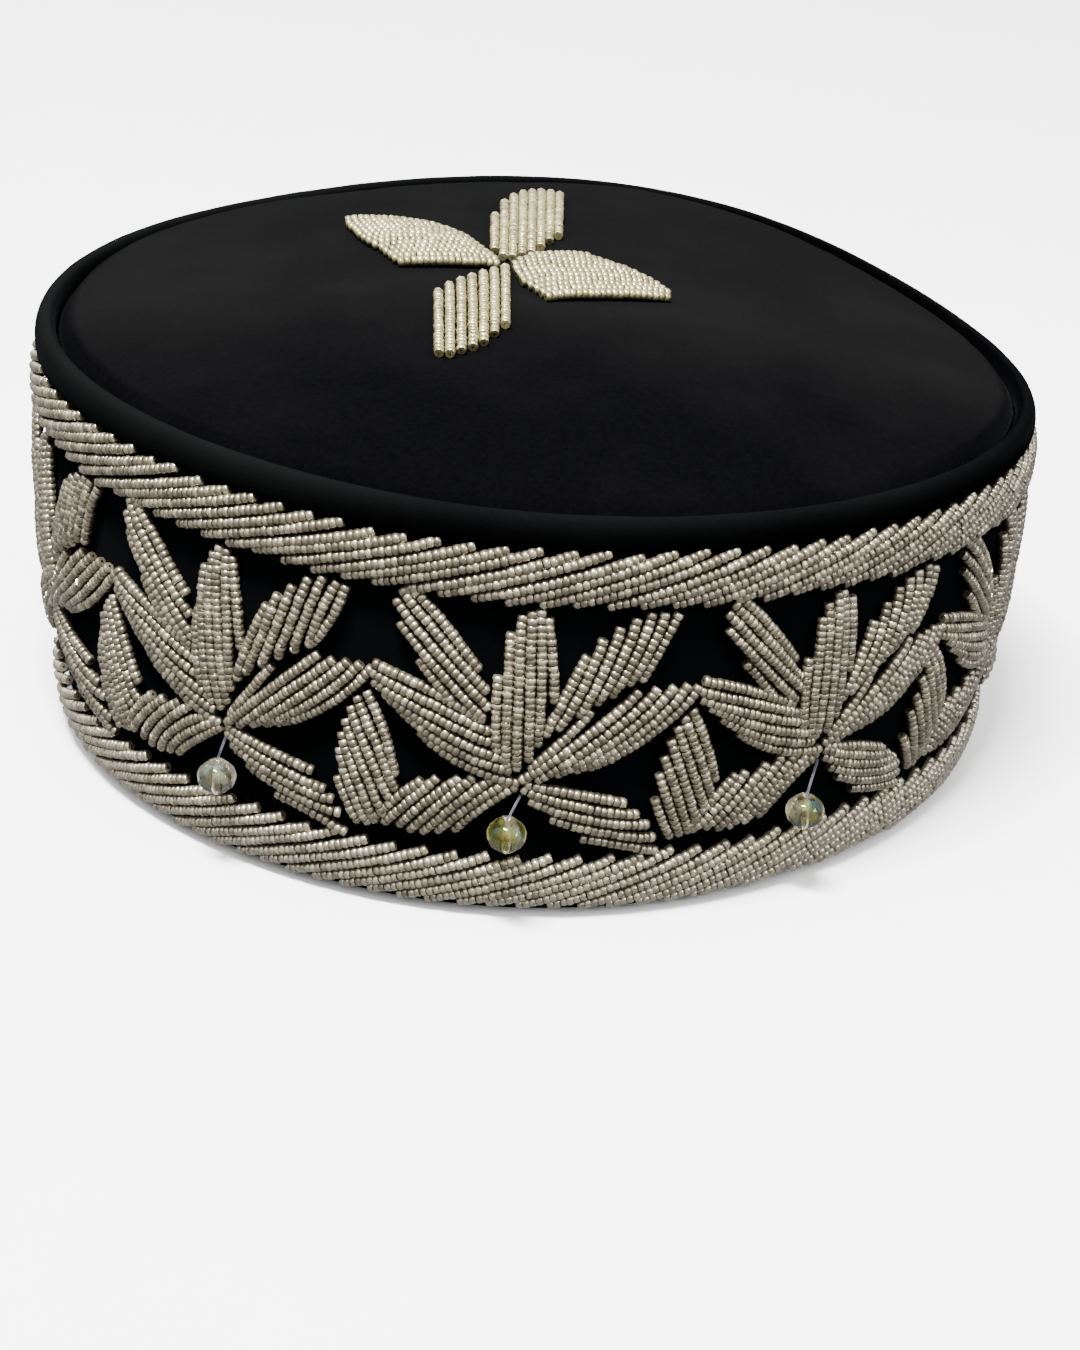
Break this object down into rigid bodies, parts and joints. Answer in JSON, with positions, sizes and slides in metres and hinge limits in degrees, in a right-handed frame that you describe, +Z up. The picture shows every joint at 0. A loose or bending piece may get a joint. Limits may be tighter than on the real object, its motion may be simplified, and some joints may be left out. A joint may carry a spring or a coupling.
{
  "type": "beaded drum cap",
  "caption": "Round brimless cloth cap with an upright band, a softly domed crown with a padded edge roll, and raised silver bead leaves, borders and hanging crystals",
  "frame": {"origin": "on the supporting surface below the middle of the whole outline, which includes the crystals", "axes": "+Z up through the crown, -Y towards the side seen in the picture, +X to its right"},
  "size_m": [0.2051, 0.2027, 0.0955],
  "materials": {
    "black_cloth": "matte black velvet with a soft sheen at grazing angles",
    "silver_beads": "strings of small silver-lined glass beads, warm champagne silver",
    "crystal": "clear faceted crystal with a faint yellow and violet sheen",
    "clear_thread": "thin clear nylon thread, greyish violet against the cloth"
  },
  "bodies": {
    "root": {"side_band": "black_cloth", "crown_roll": "black_cloth", "crown_panel": "black_cloth", "top_border": "silver_beads", "bottom_border": "silver_beads", "spray_01": "silver_beads", "spray_02": "silver_beads", "spray_03": "silver_beads", "spray_04": "silver_beads", "spray_05": "silver_beads", "spray_06": "silver_beads", "spray_07": "silver_beads", "spray_08": "silver_beads", "spray_09": "silver_beads", "spray_10": "silver_beads", "bud_01": "silver_beads", "bud_02": "silver_beads", "bud_03": "silver_beads", "bud_04": "silver_beads", "bud_05": "silver_beads", "bud_06": "silver_beads", "bud_07": "silver_beads", "bud_08": "silver_beads", "bud_09": "silver_beads", "bud_10": "silver_beads", "crystal_left": "crystal", "crystal_front": "crystal", "crystal_right": "crystal", "thread_left": "clear_thread", "thread_front": "clear_thread", "thread_right": "clear_thread", "petal_left": "silver_beads", "petal_right": "silver_beads", "petal_front": "silver_beads", "petal_back": "silver_beads"}
  },
  "joints": []
}
